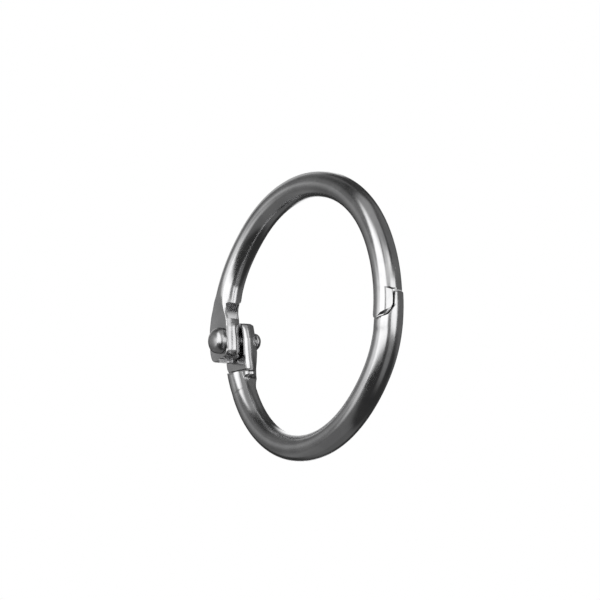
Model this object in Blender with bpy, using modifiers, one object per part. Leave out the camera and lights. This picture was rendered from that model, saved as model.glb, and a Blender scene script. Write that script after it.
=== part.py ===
"""Hinged loose-leaf binder ring, 25.4 mm inside diameter.

Two half rings of round wire turn on one rivet and close in a half-lap catch.
The ring stands in the XZ plane with its centre at the origin. The rivet lies
along Y at -X, the catch is at +X. Metres, +Z up.
"""
import math

import bmesh
import bpy
from mathutils import Matrix, Vector

MM = 0.001

# ---------------------------------------------------------------- dimensions
INSIDE_D = 25.4 * MM          # clear diameter inside the closed ring
WIRE_D = 2.8 * MM             # round wire
WIRE_R = WIRE_D / 2
RING_R = INSIDE_D / 2 + WIRE_R  # wire centreline radius
CATCH_SWELL = 0.03            # the wire ends are a little fuller at the catch

JOINT_Z = -0.95 * MM          # rivet and catch sit just below the ring's centre
RIVET_X = -13.05 * MM

SIDE_SET = 0.87 * MM          # each wire is set to its own side at the hinge
SIDE_SET_POWER = 3            # how locally that set is bent in

EAR_FACE_Y = 2.20 * MM        # outer flat of each ear, from the ring plane
EAR_GAP = 0.15 * MM           # half the running gap between the two ears
EAR_OUTER_R = 15.45 * MM      # ear outline, measured from the ring's centre
EAR_INNER_R = 11.60 * MM
EAR_EDGE_R = 0.35 * MM        # rounded rim of each ear
UPPER_EAR_BLEND = (7.0, 18.0)   # each ear narrows to the wire between these angles
LOWER_EAR_BLEND = (12.0, 21.0)
UPPER_EAR_END = 2.60 * MM     # how far each ear reaches past the rivet
LOWER_EAR_END = 2.05 * MM
UPPER_EAR_NOSE = 1.0          # 1 is a plain ellipse, less is squarer
LOWER_EAR_NOSE = 0.7
UPPER_SHOULDER_DEG = 17.6     # half-lap shoulders, angle from the rivet
LOWER_SHOULDER_DEG = 15.4

RIVET_SHANK_R = 0.72 * MM
RIVET_BORE_R = 0.80 * MM
RIVET_HEAD_R = 1.50 * MM
RIVET_HEAD_H = 1.25 * MM
RIVET_TAIL_R = 1.00 * MM
RIVET_TAIL_H = 0.75 * MM
RIVET_SEAT_GAP = 0.06 * MM

CATCH_TOP_Z = 0.25 * MM       # shoulder of the upper half
CATCH_LAP_Y = -0.28 * MM      # the lap runs along this plane
CATCH_GAP = 0.20 * MM
TONGUE_SLOPE = 1.2            # slanted end of the upper tongue, rise over run in Y
TONGUE_ROOT_Z = -1.20 * MM    # height at which the slant meets the lap
TONGUE_TIP_Z = -2.75 * MM     # lowest point that the tongue reaches

WIRE_STEP_DEG = 2.6
WIRE_BEVEL_RES = 9

NICKEL = (0.62, 0.62, 0.63, 1.0)
RIVET_NICKEL = (0.58, 0.58, 0.585, 1.0)

HINGE_DEG = 180.0 - math.degrees(math.asin(JOINT_Z / RING_R))
CATCH_DEG = math.degrees(math.asin(JOINT_Z / RING_R))
PIVOT = Vector((RIVET_X, 0.0, JOINT_Z))

UPPER = -1                    # side of the ring plane each half's lap lies on
LOWER = 1


# ------------------------------------------------------------------- helpers
def clear_scene():
    for ob in list(bpy.data.objects):
        bpy.data.objects.remove(ob, do_unlink=True)


def make_collection(name):
    coll = bpy.data.collections.new(name)
    bpy.context.scene.collection.children.link(coll)
    return coll


def metal(name, colour, roughness):
    mat = bpy.data.materials.new(name)
    mat.use_nodes = True
    bsdf = mat.node_tree.nodes["Principled BSDF"]
    bsdf.inputs["Base Color"].default_value = colour
    bsdf.inputs["Metallic"].default_value = 1.0
    bsdf.inputs["Roughness"].default_value = roughness
    return mat


def curve_to_mesh(ob, coll, name):
    """Replaces a curve object by a mesh object with its caps welded."""
    bpy.context.view_layer.update()
    graph = bpy.context.evaluated_depsgraph_get()
    mesh = bpy.data.meshes.new_from_object(ob.evaluated_get(graph))
    mesh.name = name
    bm = bmesh.new()
    bm.from_mesh(mesh)
    bmesh.ops.remove_doubles(bm, verts=bm.verts, dist=1e-6)
    bmesh.ops.recalc_face_normals(bm, faces=bm.faces)
    bm.to_mesh(mesh)
    bm.free()
    new = bpy.data.objects.new(name, mesh)
    new.matrix_world = ob.matrix_world.copy()
    coll.objects.link(new)
    old = ob.data
    bpy.data.objects.remove(ob, do_unlink=True)
    bpy.data.curves.remove(old)
    return new


def smoothstep(t):
    t = min(1.0, max(0.0, t))
    return t * t * (3 - 2 * t)


def as_tool(ob):
    ob.hide_render = True
    ob.display_type = "WIRE"
    return ob


def boolean(ob, tool, operation, name):
    mod = ob.modifiers.new(name, "BOOLEAN")
    mod.operation = operation
    mod.solver = "EXACT"
    mod.object = tool
    return mod


def side_set(side, deg):
    """Sideways set of the wire centre at an angle round the ring."""
    near = (1 + math.cos(math.radians(deg - HINGE_DEG))) / 2
    return side * SIDE_SET * near ** SIDE_SET_POWER


def swell(deg):
    away = (deg - CATCH_DEG + 180.0) % 360.0 - 180.0
    return 1 + CATCH_SWELL * math.exp(-((away / 28.0) ** 2))


def wire(name, side, start_deg, end_deg, coll):
    """Round wire along the ring from one angle to another."""
    data = bpy.data.curves.new(name, "CURVE")
    data.dimensions = "3D"
    data.bevel_depth = WIRE_R
    data.bevel_resolution = WIRE_BEVEL_RES
    data.use_fill_caps = True
    count = max(2, int(round(abs(end_deg - start_deg) / WIRE_STEP_DEG)))
    spline = data.splines.new("POLY")
    spline.points.add(count)
    for i in range(count + 1):
        deg = start_deg + (end_deg - start_deg) * i / count
        a = math.radians(deg)
        spline.points[i].co = (
            RING_R * math.cos(a), side_set(side, deg), RING_R * math.sin(a), 1.0)
        spline.points[i].radius = swell(deg)
    ob = bpy.data.objects.new(name + "_curve", data)
    coll.objects.link(ob)
    return curve_to_mesh(ob, coll, name)


def ear_outline(turn, end_reach, blend, nose):
    """Ear outline in the ring plane. turn is -1 for the upper half, +1 for the lower."""
    mid_r = (EAR_OUTER_R + EAR_INNER_R) / 2
    half = (EAR_OUTER_R - EAR_INNER_R) / 2
    lo, hi = blend

    def edges(phi):
        t = smoothstep((phi - lo) / (hi - lo))
        outer = EAR_OUTER_R + (RING_R + WIRE_R - 0.25 * MM - EAR_OUTER_R) * t
        inner = EAR_INNER_R + (RING_R - WIRE_R + 0.25 * MM - EAR_INNER_R) * t
        return outer, inner

    def polar(r, phi):
        a = math.radians(HINGE_DEG + turn * phi)
        return (r * math.cos(a), r * math.sin(a))

    steps = 9
    phis = [hi * (1 - i / steps) for i in range(steps + 1)]
    points = [polar(edges(phi)[0], phi) for phi in phis]
    a = math.radians(HINGE_DEG)
    radial = (math.cos(a), math.sin(a))
    along = (turn * math.sin(a), -turn * math.cos(a))  # away from the ear's own wire
    cx, cz = polar(mid_r, 0.0)
    arc = 14
    for i in range(1, arc):
        b = math.pi * i / arc
        c, s = math.cos(b), math.sin(b)
        u = half * math.copysign(abs(c) ** nose, c)
        w = end_reach * abs(s) ** nose
        points.append((cx + u * radial[0] + w * along[0],
                       cz + u * radial[1] + w * along[1]))
    points += [polar(edges(phi)[1], phi) for phi in reversed(phis)]
    return points


def ear(name, side, turn, end_reach, blend, nose, coll):
    """Flat ear: the outline, extruded to the ear's thickness, with rounded rims."""
    thick = EAR_FACE_Y - EAR_GAP
    data = bpy.data.curves.new(name, "CURVE")
    data.dimensions = "2D"
    data.fill_mode = "BOTH"
    data.extrude = thick / 2 - EAR_EDGE_R
    data.bevel_depth = EAR_EDGE_R
    data.bevel_resolution = 2
    data.offset = -EAR_EDGE_R
    points = ear_outline(turn, end_reach, blend, nose)
    spline = data.splines.new("POLY")
    spline.points.add(len(points) - 1)
    for p, (x, z) in zip(spline.points, points):
        p.co = (x, z, 0.0, 1.0)
    spline.use_cyclic_u = True
    ob = bpy.data.objects.new(name + "_curve", data)
    ob.rotation_euler = (math.pi / 2, 0, 0)
    ob.location = (0, side * (EAR_FACE_Y + EAR_GAP) / 2, 0)
    coll.objects.link(ob)
    return as_tool(curve_to_mesh(ob, coll, name))


def block(name, low, high, coll, turn_y=0.0, about=(0, 0, 0), turn_x=0.0):
    """Box cutter between two corners, turned about Y or X at a point."""
    bpy.ops.mesh.primitive_cube_add(size=1.0)
    ob = bpy.context.active_object
    ob.name = ob.data.name = name
    for c in list(ob.users_collection):
        c.objects.unlink(ob)
    coll.objects.link(ob)
    low, high, about = Vector(low), Vector(high), Vector(about)
    size = high - low
    ob.data.transform(Matrix.Diagonal((*size, 1.0)))
    ob.data.transform(Matrix.Translation((low + high) / 2 - about))
    ob.location = about
    ob.rotation_euler = (turn_x, turn_y, 0)
    return as_tool(ob)


def shoulder_block(name, side, turn, shoulder_deg, coll):
    """Removes the far side of a wire end past its half-lap shoulder."""
    a = math.radians(HINGE_DEG + turn * shoulder_deg)
    about = (RING_R * math.cos(a), 0, RING_R * math.sin(a))
    y = sorted((side * EAR_GAP, -side * 4 * MM))
    low = (about[0] - 4 * MM, y[0], about[2] - 9 * MM if turn < 0 else about[2])
    high = (about[0] + 4 * MM, y[1], about[2] if turn < 0 else about[2] + 9 * MM)
    # square to the wire where the shoulder is
    lean = math.radians(180.0) - a
    return block(name, low, high, coll, lean, about)


def rivet_bore(name, coll):
    bpy.ops.mesh.primitive_cylinder_add(
        vertices=32, radius=RIVET_BORE_R, depth=12 * MM, location=PIVOT,
        rotation=(math.pi / 2, 0, 0))
    ob = bpy.context.active_object
    ob.name = ob.data.name = name
    for c in list(ob.users_collection):
        c.objects.unlink(ob)
    coll.objects.link(ob)
    return as_tool(ob)


def finish_half(ob, mat):
    ob.data.materials.clear()
    ob.data.materials.append(mat)
    ob.data.shade_smooth()
    ob.data.set_sharp_from_angle(angle=math.radians(35))


def set_origin(ob, point):
    ob.data.transform(Matrix.Translation(-point))
    ob.location = point


# --------------------------------------------------------------------- parts
def upper_half(parts, tools, mat):
    tip = math.degrees(math.asin((TONGUE_TIP_Z - 0.6 * MM) / RING_R))
    ob = wire("upper_half", UPPER, tip, HINGE_DEG - 0.5, parts)
    plate = ear("upper_ear_blank", UPPER, -1, UPPER_EAR_END, UPPER_EAR_BLEND,
                UPPER_EAR_NOSE, tools)
    boolean(ob, plate, "UNION", "ear")
    flat = block("upper_ear_flat",
                 (-20 * MM, -5 * MM, -8 * MM), (-9 * MM, -EAR_FACE_Y, 8 * MM), tools)
    boolean(ob, flat, "DIFFERENCE", "outer_flat")
    lap = shoulder_block("upper_hinge_lap", UPPER, -1, UPPER_SHOULDER_DEG, tools)
    boolean(ob, lap, "DIFFERENCE", "hinge_lap")
    bore = rivet_bore("upper_rivet_bore", tools)
    boolean(ob, bore, "DIFFERENCE", "rivet_bore")
    half = block("upper_catch_lap",
                 (9 * MM, CATCH_LAP_Y - CATCH_GAP / 2, -9 * MM),
                 (19 * MM, 4 * MM, CATCH_TOP_Z), tools)
    boolean(ob, half, "DIFFERENCE", "catch_lap")
    root = (RING_R * math.cos(math.radians(CATCH_DEG)),
            CATCH_LAP_Y - CATCH_GAP / 2, TONGUE_ROOT_Z)
    end = block("upper_tongue_end",
                (root[0] - 6 * MM, root[1] - 8 * MM, root[2] - 8 * MM),
                (root[0] + 6 * MM, root[1] + 0.4 * MM, root[2]), tools,
                about=root, turn_x=math.atan(TONGUE_SLOPE))
    boolean(ob, end, "DIFFERENCE", "tongue_end")
    finish_half(ob, mat)
    return ob


def lower_half(parts, tools, mat):
    top = math.degrees(math.asin((CATCH_TOP_Z + 0.8 * MM) / RING_R))
    ob = wire("lower_half", LOWER, top, HINGE_DEG - 360.0 + 0.5, parts)
    plate = ear("lower_ear_blank", LOWER, 1, LOWER_EAR_END, LOWER_EAR_BLEND,
                LOWER_EAR_NOSE, tools)
    boolean(ob, plate, "UNION", "ear")
    flat = block("lower_ear_flat",
                 (-20 * MM, EAR_FACE_Y, -9 * MM), (-9 * MM, 5 * MM, 8 * MM), tools)
    boolean(ob, flat, "DIFFERENCE", "outer_flat")
    lap = shoulder_block("lower_hinge_lap", LOWER, 1, LOWER_SHOULDER_DEG, tools)
    boolean(ob, lap, "DIFFERENCE", "hinge_lap")
    bore = rivet_bore("lower_rivet_bore", tools)
    boolean(ob, bore, "DIFFERENCE", "rivet_bore")
    tip = block("lower_tongue_end",
                (9 * MM, -5 * MM, CATCH_TOP_Z - CATCH_GAP),
                (19 * MM, 5 * MM, 6 * MM), tools)
    boolean(ob, tip, "DIFFERENCE", "tongue_end")
    root = (RING_R * math.cos(math.radians(CATCH_DEG)), CATCH_LAP_Y + CATCH_GAP / 2,
            TONGUE_ROOT_Z - CATCH_GAP)
    half = block("lower_catch_lap",
                 (root[0] - 6 * MM, -5 * MM, root[2]),
                 (root[0] + 6 * MM, root[1], root[2] + 9 * MM), tools)
    boolean(ob, half, "DIFFERENCE", "catch_lap")
    slant = block("lower_catch_slant",
                  (root[0] - 6 * MM, root[1] - 8 * MM, root[2]),
                  (root[0] + 6 * MM, root[1], root[2] + 9 * MM), tools,
                  about=root, turn_x=math.atan(TONGUE_SLOPE))
    boolean(ob, slant, "DIFFERENCE", "catch_slant")
    finish_half(ob, mat)
    set_origin(ob, PIVOT)
    return ob


def hinge_rivet(parts, mat):
    """Turned rivet: dome head, shank, small peened tail. Head towards -Y."""
    seat = EAR_FACE_Y + RIVET_SEAT_GAP
    profile = []
    steps = 8
    for i in range(steps + 1):       # dome head, from its crown down to its rim
        b = (math.pi / 2) * i / steps
        profile.append((RIVET_HEAD_R * math.sin(b), seat + RIVET_HEAD_H * math.cos(b)))
    profile.append((RIVET_SHANK_R, seat))
    profile.append((RIVET_SHANK_R, -seat))
    for i in range(steps + 1):       # peened tail, from its rim to its crown
        b = (math.pi / 2) * (1 - i / steps)
        profile.append((RIVET_TAIL_R * math.sin(b), -seat - RIVET_TAIL_H * math.cos(b)))
    mesh = bpy.data.meshes.new("hinge_rivet")
    mesh.from_pydata([(x, 0.0, z) for x, z in profile],
                     [(i, i + 1) for i in range(len(profile) - 1)], [])
    ob = bpy.data.objects.new("hinge_rivet", mesh)
    parts.objects.link(ob)
    screw = ob.modifiers.new("turned", "SCREW")
    screw.axis = "Z"
    screw.angle = math.tau
    screw.steps = screw.render_steps = 32
    screw.use_merge_vertices = True
    screw.merge_threshold = 1e-6
    screw.use_smooth_shade = True
    ob.location = PIVOT
    ob.rotation_euler = (math.pi / 2, 0, 0)
    ob.data.materials.append(mat)
    return ob


def build():
    clear_scene()
    parts = make_collection("hinged_binder_ring")
    tools = make_collection("cutters")
    upper_half(parts, tools, metal("upper_nickel", NICKEL, 0.16))
    lower_half(parts, tools, metal("lower_nickel", NICKEL, 0.16))
    hinge_rivet(parts, metal("rivet_nickel", RIVET_NICKEL, 0.24))


build()
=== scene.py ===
"""Looks of the hinged binder ring: fine lofted wires, a turned rivet, polished nickel.

Lengths inside the shape functions are millimetres in the part's own frame; they are
scaled to metres when the meshes are made. The ring stands in the XZ plane, the rivet
lies along Y at -X, the catch is at +X. Sections of the wires are drawn in (u, w):
u is radial, outwards from the ring's centre, and w is sideways, towards the side of
the ring plane that the half's own laps lie on.
"""
import math

import bmesh
import bpy
import numpy as np
from mathutils import Matrix, Vector


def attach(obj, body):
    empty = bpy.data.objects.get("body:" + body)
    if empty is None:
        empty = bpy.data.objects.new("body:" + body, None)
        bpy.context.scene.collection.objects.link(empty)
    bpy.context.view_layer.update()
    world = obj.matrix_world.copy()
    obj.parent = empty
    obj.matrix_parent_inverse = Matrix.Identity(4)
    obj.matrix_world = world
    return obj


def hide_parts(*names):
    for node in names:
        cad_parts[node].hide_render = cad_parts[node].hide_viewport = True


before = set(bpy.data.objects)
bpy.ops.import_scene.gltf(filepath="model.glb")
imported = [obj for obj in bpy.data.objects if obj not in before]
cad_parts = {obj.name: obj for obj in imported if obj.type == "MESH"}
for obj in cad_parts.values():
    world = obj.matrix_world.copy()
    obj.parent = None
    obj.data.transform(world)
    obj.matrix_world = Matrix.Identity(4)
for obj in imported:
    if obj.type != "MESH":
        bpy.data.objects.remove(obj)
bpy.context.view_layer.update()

MM = 0.001
R = 14.1                     # wire centreline radius
WR = 1.41                    # wire radius
JOINT_Z = -0.95
PIVOT = (-13.05, 0.0, JOINT_Z)
HINGE = 180.0 - math.degrees(math.asin(JOINT_Z / R))
CATCH = math.degrees(math.asin(JOINT_Z / R))
UPPER, LOWER = -1, 1         # side of the ring plane each half's laps lie on
AROUND = 192                 # points round a section

EAR_FACE = 2.20              # outer flat of an ear
HINGE_LAP = {UPPER: 0.20, LOWER: 0.06}     # inner face of each ear, on its own side
EAR_END = {UPPER: 2.52, LOWER: 1.96}       # reach of each ear past the rivet
EAR_NOSE = {UPPER: 3.3, LOWER: 5.0}        # 2 is round, more is squarer
SHOULDER = {UPPER: 18.8, LOWER: 16.6}      # half-lap shoulders, degrees from the rivet

CATCH_LAP = {UPPER: 0.365, LOWER: -0.215}  # lap faces of the catch, on each own side
BORE_R = 0.79


# ---------------------------------------------------------------- small maths
def ss(x):
    x = np.clip(x, 0.0, 1.0)
    return x * x * (3 - 2 * x)


def ramp(x, lo, hi):
    return ss((x - lo) / (hi - lo))


def curve(x, xs, ys):
    """Smooth curve through points, without overshoot."""
    xs, ys = np.array(xs, float), np.array(ys, float)
    if x <= xs[0]:
        return float(ys[0])
    if x >= xs[-1]:
        return float(ys[-1])
    h = np.diff(xs)
    d = np.diff(ys) / h
    m = np.zeros(len(xs))
    for i in range(1, len(xs) - 1):
        if d[i - 1] * d[i] > 0:
            w1, w2 = 2 * h[i] + h[i - 1], h[i] + 2 * h[i - 1]
            m[i] = (w1 + w2) / (w1 / d[i - 1] + w2 / d[i])
    k = int(np.searchsorted(xs, x) - 1)
    t = (x - xs[k]) / h[k]
    return float(ys[k] * (1 + 2 * t) * (1 - t) ** 2 + m[k] * h[k] * t * (1 - t) ** 2
                 + ys[k + 1] * t * t * (3 - 2 * t) - m[k + 1] * h[k] * t * t * (1 - t))


def spread(lo, hi, step):
    count = max(1, int(math.ceil(abs(hi - lo) / step)))
    return [lo + (hi - lo) * i / count for i in range(count)]


def side_set(side, deg):
    """How far the wire's centre stands to its own side, at an angle round the ring."""
    near = (1 + math.cos(math.radians(deg - HINGE))) / 2
    w = (0.87 if side == UPPER else 0.70) * near ** 3
    away = (deg + 180.0) % 360.0 - 180.0
    if side == UPPER:       # both wires are sprung a little sideways against the catch
        w += 0.09 * math.exp(-((away - 18.0) / 22.0) ** 2)
        w -= 0.13 * math.exp(-((away - 136.0) / 16.0) ** 2)
    else:
        w += 0.26 * math.exp(-((away + 20.0) / 20.0) ** 2)
    return w


def swell(deg):
    away = (deg - CATCH + 180.0) % 360.0 - 180.0
    return 1 + 0.02 * math.exp(-((away / 28.0) ** 2))


# ------------------------------------------------------------ section outline
PHI = np.linspace(0, 2 * math.pi, AROUND, endpoint=False)
DIR = np.c_[np.cos(PHI), np.sin(PHI)]


def oval(centre, mid, half_in, half_out, half_w, half_lap=None):
    """Distance from centre to an oval with its own half-widths to each side."""
    lo = np.zeros(AROUND)
    hi = np.full(AROUND, 6.0)
    centre, mid = np.array(centre), np.array(mid)
    for _ in range(40):
        t = (lo + hi) / 2
        p = centre + DIR * t[:, None] - mid
        half = np.where(p[:, 0] < 0, half_in, half_out)
        wide = np.where(p[:, 1] < 0, half_lap or half_w, half_w)
        inside = (p[:, 0] / half) ** 2 + (p[:, 1] / wide) ** 2 < 1
        lo = np.where(inside, t, lo)
        hi = np.where(inside, hi, t)
    return (lo + hi) / 2


def plane(centre, normal, limit):
    """Distance from centre to normal.p = limit, along each direction."""
    n = np.array(normal, float)
    n = n / np.linalg.norm(n)
    rate = DIR @ n
    room = limit - np.array(centre) @ n
    out = np.full(AROUND, 1e3)
    ok = rate > 1e-6
    out[ok] = room / rate[ok]
    return np.maximum(out, 1e-3)


def dish(centre, u, low, radius):
    """Distance from centre to a faintly hollow face, lowest at u."""
    rel = np.array(centre) - np.array((u, low + radius))
    b = DIR @ rel
    room = b * b - rel @ rel + radius * radius
    hit = (room > 0) & (b < 0)
    return np.where(hit, -b - np.sqrt(np.maximum(room, 0.0)), 1e3)


def meet(dists, crisp=52):
    """The nearest of several limits, with softly rounded corners, and where corners are."""
    d = np.array(dists)
    low = d.min(0)
    total = ((low / d) ** crisp).sum(0)
    return low * total ** (-1.0 / crisp), np.clip(total - 1.0, 0, 1)


# --------------------------------------------------------------- mesh making
def mesh_from_loops(name, loops, edges, lengths):
    """Quads between closed loops of points, closed at both ends.

    loops: (N, 3) arrays in mm. edges: corner weight of each point. lengths: distance
    along the wire, for the texture coordinates.
    """
    loops = [np.asarray(l, float) for l in loops]
    edges = [np.asarray(e, float) for e in edges]
    lengths = list(lengths)

    def cap(loop, edge, length):
        centre = loop.mean(0)
        return [(centre + (loop - centre) * k, edge * 0, length)
                for k in (0.90, 0.72, 0.48, 0.22)], centre

    first, first_mid = cap(loops[0], edges[0], lengths[0])
    last, last_mid = cap(loops[-1], edges[-1], lengths[-1])
    whole = first[::-1] + list(zip(loops, edges, lengths)) + last
    loops, edges, lengths = (list(x) for x in zip(*whole))

    n = AROUND
    verts = np.concatenate(loops + [first_mid[None], last_mid[None]]) * MM
    faces, uvs = [], []
    girth = 2 * math.pi * WR
    for j in range(len(loops) - 1):
        for i in range(n):
            k = (i + 1) % n
            faces.append((j * n + i, j * n + k, (j + 1) * n + k, (j + 1) * n + i))
            g0, g1 = i / n * girth, (i + 1) / n * girth
            uvs.append(((lengths[j], g0), (lengths[j], g1),
                        (lengths[j + 1], g1), (lengths[j + 1], g0)))
    a, b = len(loops) * n, len(loops) * n + 1
    top = (len(loops) - 1) * n
    for i in range(n):
        k = (i + 1) % n
        g0, g1 = i / n * girth, (i + 1) / n * girth
        faces.append((a, k, i))
        uvs.append(((lengths[0], g0), (lengths[0], g1), (lengths[0], g0)))
        faces.append((b, top + i, top + k))
        uvs.append(((lengths[-1], g0), (lengths[-1], g0), (lengths[-1], g1)))
    mesh = bpy.data.meshes.new(name)
    mesh.from_pydata([tuple(v) for v in verts], [], faces)
    layer = mesh.uv_layers.new(name="UVMap")
    layer.data.foreach_set("uv", np.array(
        [c for f in uvs for c in f], np.float32).ravel() / 10.0)
    att = mesh.attributes.new("corner", "FLOAT", "POINT")
    att.data.foreach_set("value", np.concatenate(
        [np.concatenate(edges), [0.0, 0.0]]).astype(np.float32))
    bm = bmesh.new()
    bm.from_mesh(mesh)
    bmesh.ops.recalc_face_normals(bm, faces=bm.faces)
    bm.to_mesh(mesh)
    bm.free()
    ob = bpy.data.objects.new(name, mesh)
    bpy.context.scene.collection.objects.link(ob)
    return ob


def smooth(ob, degrees=38):
    ob.data.shade_smooth()
    ob.data.set_sharp_from_angle(angle=math.radians(degrees))


def bore(ob, radius):
    """Rivet hole through an ear."""
    bpy.ops.mesh.primitive_cylinder_add(
        vertices=64, radius=radius * MM, depth=12 * MM,
        location=tuple(c * MM for c in PIVOT), rotation=(math.pi / 2, 0, 0))
    cut_away(ob, bpy.context.active_object)


def cut_away(ob, tool):
    """Cut the tool out of a piece, apply the cut and drop the tool."""
    mod = ob.modifiers.new("cut", "BOOLEAN")
    mod.operation = "DIFFERENCE"
    mod.solver = "EXACT"
    mod.object = tool
    bpy.context.view_layer.update()
    graph = bpy.context.evaluated_depsgraph_get()
    cut = bpy.data.meshes.new_from_object(ob.evaluated_get(graph))
    old = ob.data
    ob.modifiers.clear()
    ob.data = cut
    cut.name = ob.name
    bpy.data.meshes.remove(old)
    bpy.data.objects.remove(tool, do_unlink=True)


def pocket(ob):
    """Recess pressed into the upper ear's inner side, just under its shoulder."""
    line = [(18.7, -3.4), (18.7, -1.62), (14.9, -0.55), (14.3, -1.47), (12.4, -1.605),
            (10.5, -1.65), (10.2, -2.60), (10.2, -3.4)]
    verts = []
    for w, skew in ((0.40, 0.0), (1.92, 0.07)):
        for phi, u in line:
            u += skew
            a = math.radians(HINGE - phi)
            verts.append(((R + u) * math.cos(a) * MM, -w * MM, (R + u) * math.sin(a) * MM))
    n = len(line)
    faces = [tuple(range(n)), tuple(range(2 * n - 1, n - 1, -1))]
    faces += [(i, i + n, (i + 1) % n + n, (i + 1) % n) for i in range(n)]
    mesh = bpy.data.meshes.new("pocket_tool")
    mesh.from_pydata(verts, [], faces)
    bm = bmesh.new()
    bm.from_mesh(mesh)
    bmesh.ops.recalc_face_normals(bm, faces=bm.faces)
    bm.to_mesh(mesh)
    bm.free()
    tool = bpy.data.objects.new("pocket_tool", mesh)
    bpy.context.scene.collection.objects.link(tool)
    cut_away(ob, tool)


# ------------------------------------------------------------- catch outlines
SLANT = np.linspace(-1.60, -0.15, 59)
SLANT_Z = np.array([curve(v, (-1.60, -1.47, -1.366, -1.073, -0.758, -0.474, -0.36, -0.20),
                          (-2.40, -2.36, -2.31, -2.16, -1.96, -1.58, -1.38, -1.19)) for v in SLANT])
BEVEL_H = np.array([curve(v, (-1.47, -1.366, -1.073, -0.758, -0.474),
                          (0.06, 0.24, 0.36, 0.30, 0.16)) for v in SLANT])


def tongue_end(u, v):
    """Height of the upper tongue's end across the wire: a slant, lowest at the far side."""
    return np.interp(v, SLANT, SLANT_Z) - 0.17 * (1 - ss(np.asarray(u, float) / 0.55))


def bevel_height(u, v):
    """How far up the tongue the bevel at its end reaches."""
    return np.interp(v, SLANT, BEVEL_H) * (0.25 + 0.75 * ss(np.asarray(u, float) / 0.5))


def lap_top(v):
    """Height of the lower tongue's top across the wire."""
    return 0.10 + 0.16 * np.minimum(np.asarray(v, float), 0.3)


# ---------------------------------------------------------- sections by angle
def upper_section(phi, past, lap):
    """Upper wire and ear. Coined flat outside, half-lapped inside, waisted at the shoulder."""
    deg = HINGE - phi
    at = (0, 5, 9.5, 13.9, 17.6, 21, 24, 28)
    r = WR * swell(deg)
    off = side_set(UPPER, deg)
    if phi < 28:
        mid_u = curve(phi, at, (-0.50, -0.50, -0.45, -0.28, -0.12, -0.06, -0.03, 0.0))
        a_out = curve(phi, at, (1.92, 1.90, 1.75, 1.60, 1.52, 1.47, 1.44, WR))
        mid_w = off + curve(phi, at, (0.08, 0.085, 0.098, 0.114, 0.113, 0.042, 0.027, 0.0))
        b = curve(phi, at, (2.50, 2.45, 2.30, 1.70, 1.48, 1.42, 1.41, WR))
    else:
        mid_u, a_out, mid_w, b = 0.0, r, off, r
    a_in = r                         # the inner side swells slowly towards the ear
    if phi < 42:
        a_in = curve(phi, (0, 5, 9.5, 13.9, 17.6, 21, 24, 28, 33, 42),
                     (2.21, 2.18, 2.05, 1.85, 1.72, 1.62, 1.545, 1.478, 1.436, r))
    shrink = 1.0
    if past > 0:
        n = EAR_NOSE[UPPER]
        a_out *= max(0.03, 1 - (past / EAR_END[UPPER]) ** n) ** (1 / n)
        shrink = max(0.0, 1 - (past / 2.16) ** 4.5) ** (1 / 4.5)
        a_in = max(0.05, a_in * shrink)
    centre = (mid_u, mid_w)
    if phi > 28:
        centre = (0.0, off)
    lims = [oval(centre, (mid_u, mid_w), a_in, a_out, b)]
    if phi < 30:
        lims.append(dish(centre, mid_u, EAR_FACE - 0.03, 32.0))
    if lap is not None:
        lims.append(plane(centre, (0, -1), -lap))
        if phi < SHOULDER[UPPER] - 0.02:
            # the inner side is cut back under the shoulder and flattened along the lap
            edge = curve(phi, (0, 2.3, 5.5, 9.25, 11.4, 13.5, 16.2, 18.8),
                         (-2.02, -1.94, -1.89, -1.86, -1.71, -1.56, -1.52, -1.60))
            lean = math.radians(curve(phi, (9.0, 11.4, 13.5, 16.2), (38, 30, 14, 4)))
            edge = mid_u + (edge - mid_u) * shrink
            n = (-math.cos(lean), -math.sin(lean))
            lims.append(plane(centre, n, n[0] * edge + n[1] * HINGE_LAP[UPPER]))
    return centre, meet(lims)


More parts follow.
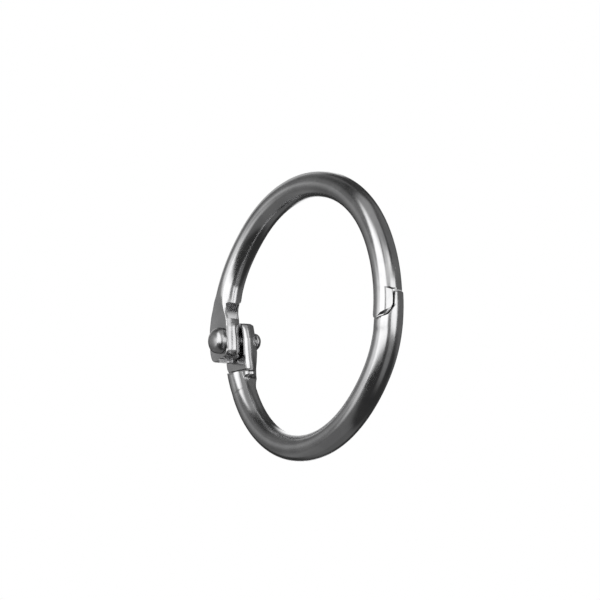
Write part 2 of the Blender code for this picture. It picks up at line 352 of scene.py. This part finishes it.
def lower_section(phi, past, lap):
    """Lower wire and ear. The ear stays wide up to its shoulder."""
    deg = HINGE + phi
    r = WR * swell(deg)
    off = side_set(LOWER, deg)
    if phi > 26:
        centre = (0.0, off)
        return centre, meet([oval(centre, centre, r, r, r)])
    at = (0, 5.5, 10.3, 14.5, 16.3, 16.9, 18.7, 20.6, 22.5, 25.5)
    mid_u = curve(phi, at, (-0.42, -0.42, -0.42, -0.38, -0.36, -0.33, -0.26, -0.12, -0.05, 0.0))
    a_in = curve(phi, at, (2.45, 2.45, 2.42, 2.36, 2.36, 1.95, 1.84, 1.34, 1.32, WR * 0.985))
    a_out = curve(phi, at, (2.40, 2.40, 2.40, 2.20, 2.10, 2.02, 1.80, 1.60, 1.50, WR))
    mid_w = off + curve(phi, at, (0.18, 0.184, 0.197, 0.213, 0.222, 0.215, 0.217, 0.215, 0.202, 0.175))
    mid_w -= 0.175 * float(ramp(phi, 18.7, 25.5))
    b = curve(phi, at, (2.30, 2.30, 2.20, 1.85, 1.72, 1.68, 1.55, 1.46, 1.42, WR))
    b_lap = curve(phi, at, (1.30, 1.30, 1.30, 1.30, 1.32, 1.33, 1.36, 1.38, 1.40, WR))
    taper = 0.0
    if past > 0:
        n = EAR_NOSE[LOWER]
        shrink = max(0.03, 1 - (past / EAR_END[LOWER]) ** n) ** (1 / n)
        taper = 0.16 * past
        a_in, a_out = (a_in - taper) * shrink, (a_out - taper) * shrink
    centre = (-0.2 * float(ramp(-phi, -26, -19)), off + (0.95 - off) * float(ramp(-phi, -26, -17)))
    lims = [oval(centre, (mid_u, mid_w), a_in, a_out, b, b_lap),
            plane(centre, (0, 1), EAR_FACE)]
    out = curve(phi, (0, 5, 9, 14, 17, 20, 25), (1.38, 1.50, 1.60, 1.55, 1.50, 1.46, 1.42))
    lims.append(plane(centre, (1, 0), out - taper))
    lean = math.radians(curve(phi, (6, 10.3, 14.5), (37, 40, 46)))
    corner = curve(phi, (0, 5.5, 10.3, 14.5, 17, 20, 25),
                   (2.69, 2.76, 2.59, 2.37, 2.26, 2.16, 2.06))
    lims.append(plane(centre, (-math.cos(lean), math.sin(lean)), corner - 0.16 * past))
    lims.append(plane(centre, (0, -1), -max(HINGE_LAP[LOWER], lap or 0.0)))
    ear, edge = meet(lims)
    if phi < SHOULDER[LOWER]:
        if lap is None or lap >= HINGE_LAP[LOWER]:
            return centre, (ear, edge)
    wire = [oval(centre, (0.0, off), r, r, r)]
    if lap is not None:
        wire.append(plane(centre, (0, -1), -lap))
    round_, edge2 = meet(wire)
    k = 60
    both = ((ear ** k + round_ ** k) / 2 ** float(ramp(phi, 20, 25.5))) ** (1.0 / k)
    return centre, (both, np.where(ear > round_, edge, edge2))


# --------------------------------------------------------------- half rings
def half_ring(name, side):
    """One wire, lofted from the end of its ear to the end of its catch tongue."""
    loops, edges, lengths = [], [], []
    section = upper_section if side == UPPER else lower_section
    reach, sh, lap = EAR_END[side], SHOULDER[side], HINGE_LAP[side]
    h = math.radians(HINGE)
    arc = math.radians(1.0) * R      # mm of wire per degree

    def add(centre, outline, deg, length, past=0.0, shear=None, inset=0.0):
        r, corner = outline
        p = np.array(centre) + DIR * r[:, None]
        u, v = p[:, 0], p[:, 1] * side
        if side == LOWER and shear is None and abs(deg - HINGE - sh) < 7.0:
            # the lower shoulder lies level, across the radius
            level = ramp(-abs(deg - HINGE - sh), -7.0, -1.0)
            z = (R - 1.2) * math.sin(math.radians(deg))
            deg = deg + level * (180.0 + np.degrees(np.arcsin(-z / (R + u))) - deg)
        if shear is not None:
            deg = np.degrees(np.arcsin(np.clip(shear(u, v) / R, -1, 1)))
        if callable(inset) or inset > 0:
            r = np.maximum(r - (inset(u, v) if callable(inset) else inset), 0.03)
            p = np.array(centre) + DIR * r[:, None]
            u, v = p[:, 0], p[:, 1] * side
        a = np.radians(deg)
        run = -side * past
        pts = np.c_[(R + u) * np.cos(a) - run * math.sin(h), v,
                    (R + u) * np.sin(a) + run * math.cos(h)]
        if side < 0:                 # keep the loops turning the same way
            pts = np.roll(pts[::-1], 1, axis=0)
            corner = np.roll(corner[::-1], 1)
        loops.append(pts)
        edges.append(corner)
        lengths.append(length)

    # ear, from its end to the rivet; the rim is rounded in at the end
    for x in np.linspace(0.0, 1.0, 30)[:-1]:
        past = reach * (1 - x ** 1.6)
        near = min(1.0, (reach - past) / 0.20)
        rim = 0.20 * (1 - math.sqrt(1 - (1 - near) ** 2))
        c, line = section(0.0, min(past, reach - 0.02), lap)
        add(c, line, HINGE, -past, past, inset=rim)
    # ear and lap, up to the shoulder
    for phi in spread(0.0, sh - 5.0, 0.30) + spread(sh - 5.0, sh, 0.15):
        groove = 0.0
        if side == LOWER:            # relief at the foot of the shoulder
            groove = 0.30 * float(ramp(phi, sh - 1.1, sh - 0.8) - ramp(phi, sh - 0.25, sh - 0.05))
        c, line = section(phi, 0.0, lap + groove)
        add(c, line, HINGE + side * phi, phi * arc)
    # shoulder face, swept from the lap out to the wire's far side, with its edge eased
    clear = 5.5 if side == UPPER else 1.3      # degrees over which its roll runs out
    deep = lap - (side_set(side, HINGE + side * (sh + clear)) - WR) + 0.02
    for k in range(1, 33):
        q = k / 32.0
        roll, start = (1.30, 0.0) if side == UPPER else (0.24, 0.50)
        turn = math.pi / 2 * max(0.0, (q - start) / (1 - start))
        x = min(q, start) + (1 - start) * math.sin(turn)
        lip = roll * (1 - math.cos(turn))
        cut = lap - x * deep
        foot = 0.10 * (1 - math.sqrt(max(0.0, 1 - (1 - min(1, x / 0.14)) ** 2)))
        phi = sh + 0.0045 * k + (lip - foot) / arc
        c, line = section(max(phi, sh + 0.001), 0.0, cut)
        add(c, line, HINGE + side * phi, phi * arc)
    # plain wire, easing out of the ear
    z_stop = 1.3 if side == UPPER else -4.2
    deg_stop = math.degrees(math.asin(z_stop / R))
    end = (HINGE - deg_stop) if side == UPPER else (deg_stop + 360.0 - HINGE)
    walk_to = 0.86 if side == UPPER else 0.55

    def walk(phi):
        return walk_to * float(ramp(phi, end - 30.0, end))

    for phi in spread(sh + clear + 0.1, 32.0, 0.45) + spread(32.0, end, 1.0):
        c, line = section(phi, 0.0, None)
        if phi > end - 30.0:         # the loops' centre moves over to the tongue's side
            deg = HINGE + side * phi
            off, r = side_set(side, deg), WR * swell(deg)
            c = (0.0, off + walk(phi))
            line = meet([oval(c, (0.0, off), r, r, r)])
        add(c, line, HINGE + side * phi, phi * arc)

    # catch end, in levels of height
    along = end * arc
    tongue = CATCH_LAP[side]

    def catch(z, cut, shear, inset=0.0, facet=0.0):
        deg = math.degrees(math.asin(z / R))
        off, r = side_set(side, deg), WR * swell(deg)
        c = (0.0, off + walk_to)
        lims = [oval(c, (0.0, off), r, r, r)]
        if facet:
            # flats dressed along the slit, with a soft edge
            flats = [plane(c, (0.951, 0.309), 1.46 - 0.170 * facet),
                     plane(c, (0.982, 0.190), 1.46 - 0.215 * facet)]
            plain, dressed = lims[0], meet(lims + flats, 14 + 36 * (1 - facet))[0]
            t = ramp(c[1] + DIR[:, 1] * plain, 0.16, 0.34)
            lims = [plain + t * (dressed - plain)]
        if cut is not None:
            lims.append(plane(c, (0, -1), -cut))
        add(c, meet(lims), None, along + abs(z_stop - z), shear=shear, inset=inset)

    if side == UPPER:
        def seam(u, v):
            return lap_top(v) + 0.13

        def onset(u, v):
            """Where the flats of the tongue begin."""
            return np.maximum(seam(u, v) + 0.07, 0.25 + 0.25 * np.clip(-0.5 - v, 0.0, 0.9))

        def end(u, v, up):
            """up mm above the tongue's end, with the bevel's own share above that."""
            return tongue_end(u, v) + up

        for z in spread(z_stop, 0.36, 0.07):
            t = float(ramp(-z, -z_stop, -0.36))
            catch(z, None, lambda u, v, z=z, t=t: z + t * (onset(u, v) + 0.10 - 0.36))
        for k in range(7):           # the flats dressed on the tongue start in a small step
            x = k / 6.0
            catch(0.36, None, lambda u, v, x=x: onset(u, v) + 0.10 * (1 - x), facet=x)
        for q in (0.25, 0.5, 0.75, 0.95):
            catch(0.3, None, lambda u, v, q=q: onset(u, v) * (1 - q)
                  + (seam(u, v) + 0.05) * q, facet=1.0)
        for k in range(1, 15):       # shoulder of the catch
            x = k / 14.0
            lip = 0.05 * (1 - math.sqrt(max(0.0, 1 - max(0.0, 1 - x / 0.2) ** 2)))
            catch(0.2, -1.9 + x * (tongue + 1.9),
                  lambda u, v, d=lip - 0.004 * k: seam(u, v) + d, facet=1.0)
        for k in range(1, 31):       # tongue, down to the bevel
            q = k / 30.0
            catch(0.1 - 1.0 * q, tongue, lambda u, v, q=q: (seam(u, v) - 0.06) * (1 - q)
                  + end(u, v, 0.135 + bevel_height(u, v)) * q, facet=1.0)
        for k in range(10):          # bevel, ground on a slant
            t = k / 9.0
            catch(-1.2, tongue,
                  lambda u, v, t=t: end(u, v, 0.12 + bevel_height(u, v) * (1 - t)),
                  inset=lambda u, v, t=t: 0.56 * t * bevel_height(u, v), facet=1.0)
        for k in range(1, 5):        # narrow lip left below it
            catch(-1.2, tongue, lambda u, v, k=k: end(u, v, 0.115 - 0.02 * k),
                  inset=lambda u, v: 0.56 * bevel_height(u, v), facet=1.0)
        for k in range(1, 6):
            t = math.pi / 2 * k / 5
            catch(-1.2, tongue, lambda u, v, t=t: end(u, v, 0.035 - 0.035 * math.sin(t)),
                  inset=lambda u, v, t=t: 0.56 * bevel_height(u, v) + 0.04 * (1 - math.cos(t)),
                  facet=1.0)
    else:
        def socket(u, v):
            return tongue_end(u, np.minimum(v, tongue) - 0.03) - 0.10
        low = float(socket(1.3, tongue))
        for z in spread(z_stop, -1.9, 0.10):
            t = float(ramp(z, z_stop, -2.2))
            base = (z - z_stop) / (-1.9 - z_stop) * (low - 0.06 - z_stop) + z_stop
            catch(base, None, lambda u, v, s=base, t=t: s + t * (socket(u, v) - low))
        for k in range(1, 19):       # socket for the other tongue
            x = k / 18.0
            lip = 0.06 * (1 - math.sqrt(max(0.0, 1 - max(0.0, 1 - x / 0.15) ** 2)))
            catch(-1.43, -1.35 + x * (tongue + 1.35),
                  lambda u, v, d=0.004 * k - lip: socket(u, v) + d)
        for k in range(1, 27):
            q = k / 26.0
            catch(-1.38 + 1.38 * q, tongue, lambda u, v, q=q: socket(u, v) + 0.075
                  + q * (lap_top(v) - 0.165 - socket(u, v)))
        for k in range(1, 8):
            t = math.pi / 2 * k / 7
            catch(0.0, tongue, lambda u, v, t=t: lap_top(v) - 0.09 + 0.09 * math.sin(t),
                  inset=0.09 * (1 - math.cos(t)))

    ob = mesh_from_loops(name, loops, edges, lengths)
    if side == UPPER:
        pocket(ob)
    bore(ob, BORE_R)
    smooth(ob)
    return ob


# ---------------------------------------------------------------------- rivet
def rivet(name):
    """Rivet: dome head set a little off centre, shank, peened tail."""
    seat = EAR_FACE + 0.03
    prof = []
    for x in np.linspace(0, math.pi / 2, 34):            # dome
        prof.append((1.48 * math.sin(x) ** 0.78, seat + 0.05 + 1.06 * math.cos(x) ** 0.78))
    prof += [(1.482, seat + 0.03), (1.47, seat + 0.010), (1.43, seat)]

    def lean(y):
        """Sideways and up or down, how far a peened end stands off the shank's axis."""
        if y >= seat - 1e-6:
            return 0.0, -0.16
        if y <= -seat + 1e-6:
            return 0.0, 0.09
        return 0.0, 0.0

    prof += [(1.1, seat), (0.74, seat), (0.72, seat - 0.04)]
    prof += [(0.72, y) for y in np.linspace(seat - 0.3, -seat + 0.3, 8)]
    prof += [(0.72, -seat + 0.04), (0.74, -seat), (0.86, -seat)]
    prof += [(0.955, -seat - 0.02), (0.995, -seat - 0.07)]
    for x in np.linspace(math.pi / 2, 0, 20):            # peened tail
        prof.append((1.0 * math.sin(x) ** 0.85, -seat - 0.10 - 0.66 * math.cos(x) ** 0.9))
    turns = 112
    verts, faces = [], []
    rings = prof[1:-1]
    for i in range(turns):
        a = 2 * math.pi * i / turns
        for r, y in rings:
            tail = max(0.0, (-y - seat) / 0.76)
            out = r * (1 + 0.012 * tail * math.sin(3 * a + 0.7) + 0.008 * tail * math.sin(7 * a))
            dx, dz = lean(y)
            verts.append((out * math.cos(a) + dx, -y, out * math.sin(a) + dz))
    m = len(rings)
    for i in range(turns):
        k = (i + 1) % turns
        for j in range(m - 1):
            faces.append((i * m + j, i * m + j + 1, k * m + j + 1, k * m + j))
    top, bottom = len(verts), len(verts) + 1
    for _, y in (prof[0], prof[-1]):
        dx, dz = lean(y)
        verts.append((dx, -y, dz))
    for i in range(turns):
        k = (i + 1) % turns
        faces.append((top, i * m, k * m))
        faces.append((bottom, k * m + m - 1, i * m + m - 1))
    mesh = bpy.data.meshes.new(name)
    mesh.from_pydata([tuple((c + o) * MM for c, o in zip(v, PIVOT)) for v in verts], [], faces)
    bm = bmesh.new()
    bm.from_mesh(mesh)
    bmesh.ops.recalc_face_normals(bm, faces=bm.faces)
    bm.to_mesh(mesh)
    bm.free()
    ob = bpy.data.objects.new(name, mesh)
    bpy.context.scene.collection.objects.link(ob)
    smooth(ob, 40)
    return ob


# ------------------------------------------------------------------ materials
def node(tree, kind, **sets):
    n = tree.nodes.new(kind)
    for k, v in sets.items():
        setattr(n, k, v)
    return n


def nickel(name, dark, light, rough, drawn):
    """Polished nickel plating: faint drawn lines, handling scratches, haze, rubbed corners."""
    mat = bpy.data.materials.new(name)
    mat.use_nodes = True
    t = mat.node_tree
    bsdf = t.nodes["Principled BSDF"]
    bsdf.inputs["Metallic"].default_value = 1.0
    coord = node(t, "ShaderNodeTexCoord")

    def noise(scale, detail, vector, rough_=0.55):
        n = node(t, "ShaderNodeTexNoise")
        n.inputs["Scale"].default_value = scale
        n.inputs["Detail"].default_value = detail
        n.inputs["Roughness"].default_value = rough_
        t.links.new(vector, n.inputs["Vector"])
        return n.outputs["Fac"]

    def maps(value, lo, hi, to_lo, to_hi):
        m = node(t, "ShaderNodeMapRange", interpolation_type="SMOOTHSTEP")
        for k, x in zip(("From Min", "From Max", "To Min", "To Max"), (lo, hi, to_lo, to_hi)):
            m.inputs[k].default_value = x
        t.links.new(value, m.inputs["Value"])
        return m.outputs["Result"]

    def maths(op, a, b):
        m = node(t, "ShaderNodeMath", operation=op)
        for i, x in enumerate((a, b)):
            if isinstance(x, (int, float)):
                m.inputs[i].default_value = x
            else:
                t.links.new(x, m.inputs[i])
        return m.outputs[0]

    obj = coord.outputs["Object"]
    cloud = noise(420.0, 4.0, obj)                        # cloudy haze, a few mm
    fine = noise(5200.0, 3.0, obj)                        # grain of the plating
    if drawn:
        squeeze = node(t, "ShaderNodeMapping")
        squeeze.inputs["Scale"].default_value = (3.0, 120.0, 1.0)
        t.links.new(coord.outputs["UV"], squeeze.inputs["Vector"])
        lines = noise(1.0, 5.0, squeeze.outputs["Vector"], 0.65)
        slant = node(t, "ShaderNodeMapping")
        slant.inputs["Rotation"].default_value = (0, 0, 0.9)
        slant.inputs["Scale"].default_value = (14.0, 210.0, 1.0)
        t.links.new(coord.outputs["UV"], slant.inputs["Vector"])
        marks = noise(1.0, 2.0, slant.outputs["Vector"], 0.5)
    else:
        lines = noise(2600.0, 5.0, obj, 0.65)
        marks = noise(1500.0, 2.0, obj, 0.5)
    scratch = maps(marks, 0.66, 0.74, 0.0, 1.0)

    mix = node(t, "ShaderNodeMix", data_type="RGBA")
    mix.inputs["A"].default_value = (*dark, 1)
    mix.inputs["B"].default_value = (*light, 1)
    t.links.new(maps(cloud, 0.35, 0.65, 0.0, 1.0), mix.inputs["Factor"])
    colour = mix.outputs["Result"]
    corner = node(t, "ShaderNodeAttribute", attribute_name="corner")
    rub = node(t, "ShaderNodeMix", data_type="RGBA")
    rub.inputs["B"].default_value = (0.74, 0.735, 0.72, 1)
    t.links.new(colour, rub.inputs["A"])
    t.links.new(maths("MULTIPLY", corner.outputs["Fac"], 0.55), rub.inputs["Factor"])
    t.links.new(rub.outputs["Result"], bsdf.inputs["Base Color"])

    r = maths("ADD", maps(cloud, 0.3, 0.7, rough - 0.025, rough + 0.035),
              maps(lines, 0.4, 0.7, 0.0, 0.05))
    r = maths("ADD", r, maths("MULTIPLY", scratch, 0.10))
    t.links.new(r, bsdf.inputs["Roughness"])

    height = maths("ADD", maths("MULTIPLY", lines, 0.5), maths("MULTIPLY", fine, 0.25))
    height = maths("SUBTRACT", height, maths("MULTIPLY", scratch, 0.35))
    bump = node(t, "ShaderNodeBump")
    bump.inputs["Strength"].default_value = 0.10
    bump.inputs["Distance"].default_value = 0.00002
    t.links.new(height, bump.inputs["Height"])
    t.links.new(bump.outputs["Normal"], bsdf.inputs["Normal"])
    return mat


# ----------------------------------------------------------------- the object
wire_nickel = nickel("polished_nickel", (0.585, 0.585, 0.592), (0.655, 0.655, 0.66), 0.17, True)
rivet_nickel = nickel("tumbled_nickel", (0.54, 0.54, 0.545), (0.62, 0.62, 0.622), 0.23, False)

upper = half_ring("upper_wire", UPPER)
lower = half_ring("lower_wire", LOWER)
pin = rivet("dome_rivet")
for ob, mat in ((upper, wire_nickel), (lower, wire_nickel), (pin, rivet_nickel)):
    ob.data.materials.clear()
    ob.data.materials.append(mat)

for ob, nd, body, slot in ((upper, "upper_half", "upper_body", "nickel_wire"),
                           (lower, "lower_half", "lower_body", "nickel_wire"),
                           (pin, "hinge_rivet", "upper_body", "nickel_rivet")):
    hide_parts(nd)
    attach(ob, body)


# ---------------------------------------------------------------------- stage
def floor():
    bpy.ops.mesh.primitive_plane_add(size=4.0, location=(0, 0, -0.14))
    ob = bpy.context.active_object
    ob.name = "floor"
    mat = bpy.data.materials.new("pale_floor")
    mat.use_nodes = True
    t = mat.node_tree
    bsdf = t.nodes["Principled BSDF"]
    bsdf.inputs["Roughness"].default_value = 0.85
    bsdf.inputs["Specular IOR Level"].default_value = 0.2
    n = node(t, "ShaderNodeTexNoise")
    n.inputs["Scale"].default_value = 60.0
    mix = node(t, "ShaderNodeMix", data_type="RGBA")
    mix.inputs["A"].default_value = (0.84, 0.84, 0.845, 1)
    mix.inputs["B"].default_value = (0.88, 0.88, 0.885, 1)
    t.links.new(n.outputs["Fac"], mix.inputs["Factor"])
    t.links.new(mix.outputs["Result"], bsdf.inputs["Base Color"])
    ob.data.materials.append(mat)
    ob.visible_glossy = False


def studio():
    """White surround for floor and camera; soft boxes either side of it for the metal."""
    world = bpy.data.worlds.new("studio")
    bpy.context.scene.world = world
    world.use_nodes = True
    t = world.node_tree
    t.nodes.clear()
    coord = node(t, "ShaderNodeTexCoord")
    sep = node(t, "ShaderNodeSeparateXYZ")
    t.links.new(coord.outputs["Generated"], sep.inputs[0])

    def maths(op, a, b=0.0):
        m = node(t, "ShaderNodeMath", operation=op)
        for i, x in enumerate((a, b)):
            if isinstance(x, (int, float)):
                m.inputs[i].default_value = x
            else:
                t.links.new(x, m.inputs[i])
        return m.outputs[0]

    az = maths("MULTIPLY", maths("ARCTAN2", sep.outputs["Y"], sep.outputs["X"]), 180 / math.pi)
    el = maths("MULTIPLY", maths("ARCSINE", sep.outputs["Z"]), 180 / math.pi)

    def step(value, mid, soft):
        m = node(t, "ShaderNodeMapRange", interpolation_type="SMOOTHSTEP")
        m.inputs["From Min"].default_value = mid - soft
        m.inputs["From Max"].default_value = mid + soft
        t.links.new(value, m.inputs["Value"])
        return m.outputs["Result"]

    def window(value, lo, hi):
        """1 between lo and hi, each given as (place, softness)."""
        return maths("SUBTRACT", step(value, *lo), step(value, *hi))

    def box(power, az_lo, az_hi, el_lo, el_hi):
        w = maths("MULTIPLY", window(az, az_lo, az_hi), window(el, el_lo, el_hi))
        return maths("MULTIPLY", w, power)

    # the big box hangs with its lower edge a little out of level
    hung = maths("ADD", el, maths("MULTIPLY", maths("ADD", az, 56.0), 0.22))

    lean = maths("ADD", az, maths("MULTIPLY", maths("MAXIMUM", maths("SUBTRACT", el, 8.0), 0.0), 0.35))

    def big(power, az_lo, az_hi, el_lo, el_hi):
        inner = maths("SUBTRACT", step(az, *az_lo), step(lean, *az_hi))
        w = maths("MULTIPLY", maths("MAXIMUM", inner, 0.0), window(hung, el_lo, el_hi))
        return maths("MULTIPLY", w, power)

    parts = [
        # broad soft box to the left of the camera, and its spill further round
        big(1.62, (-104, 6), (-41, 5), (-20, 3), (42, 13)),
        box(0.65, (-124, 10), (-104, 6), (-20, 8), (14, 7)),
        box(0.14, (-150, 14), (-100, 8), (-20, 8), (40, 14)),
        box(0.12, (-165, 12), (-118, 12), (0, 9), (18, 6)),
        box(0.40, (-136, 8), (-108, 8), (3, 4), (14, 4)),
        # dimmer strip between the two boxes
        box(0.25, (-41, 5), (-15, 4), (-19, 5), (46, 12)),
        box(0.48, (-41, 5), (-15, 4), (9, 12), (43, 12)),
        # narrower soft box to the right of the camera, wider low down
        box(1.45, (-15, 4), (29, 5), (-18, 3), (21, 3)),
        box(0.60, (-15, 4), (12, 6), (21, 3), (27, 4)),
        box(1.25, (-15, 4), (9, 5), (27, 4), (41, 9)),
        # floor bounce under it
        box(0.18, (-14, 10), (32, 9), (-52, 9), (-18, 5)),
        # room: right, behind, above, below
        box(0.11, (30, 8), (106, 10), (-14, 9), (62, 14)),
        box(0.05, (103, 5), (120, 5), (-12, 6), (30, 9)),
        box(0.50, (152, 8), (400, 1), (14, 6), (52, 8)),
        box(0.50, (-400, 1), (-172, 7), (14, 6), (40, 9)),
        box(0.09, (-400, 1), (-150, 14), (-30, 14), (100, 1)),
        box(0.32, (-106, 10), (12, 8), (45, 10), (110, 1)),
        box(0.32, (12, 8), (64, 14), (72, 8), (110, 1)),
        # soft box behind
        box(1.30, (138, 4), (151, 4), (-15, 8), (45, 10)),
        box(0.13, (-400, 1), (-92, 14), (-110, 1), (-22, 9)),
        box(0.10, (104, 12), (400, 1), (-110, 1), (-38, 8)),
    ]
    light = 0.04
    for p in parts:
        light = maths("ADD", light, p)

    metal_side = node(t, "ShaderNodeBackground")
    t.links.new(light, metal_side.inputs["Strength"])
    metal_side.inputs["Color"].default_value = (1, 1, 1, 1)
    plain = node(t, "ShaderNodeBackground")
    plain.inputs["Color"].default_value = (1, 1, 1, 1)
    plain.inputs["Strength"].default_value = 1.0
    path = node(t, "ShaderNodeLightPath")
    mix = node(t, "ShaderNodeMixShader")
    t.links.new(path.outputs["Is Glossy Ray"], mix.inputs["Fac"])
    t.links.new(plain.outputs[0], mix.inputs[1])
    t.links.new(metal_side.outputs[0], mix.inputs[2])
    out = node(t, "ShaderNodeOutputWorld")
    t.links.new(mix.outputs[0], out.inputs["Surface"])

    top = bpy.data.lights.new("overhead", "AREA")
    top.shape = "DISK"
    top.size = 0.6
    top.energy = 1.0
    ob = bpy.data.objects.new("overhead", top)
    ob.location = (0.05, -0.1, 0.9)
    ob.rotation_euler = Vector((0.05, -0.1, 1.04)).to_track_quat("Z", "Y").to_euler()
    ob.visible_camera = False
    ob.visible_glossy = False
    bpy.context.scene.collection.objects.link(ob)


def camera():
    data = bpy.data.cameras.new("camera")
    data.sensor_width = 36.0
    data.lens = 96.0
    data.clip_start, data.clip_end = 0.005, 20.0
    ob = bpy.data.objects.new("camera", data)
    right = Vector((0.587015, 0.809544, -0.006972)).normalized()
    ahead = Vector((-0.793844, 0.577282, 0.191187)).normalized()
    up = right.cross(ahead).normalized()
    m = Matrix((right, up, -ahead)).transposed().to_4x4()
    m.translation = Vector((135.24, -98.94, -30.96)) * MM
    ob.matrix_world = m
    bpy.context.scene.collection.objects.link(ob)
    bpy.context.scene.camera = ob


floor()
studio()
camera()
bpy.context.scene.view_settings.view_transform = "Standard"
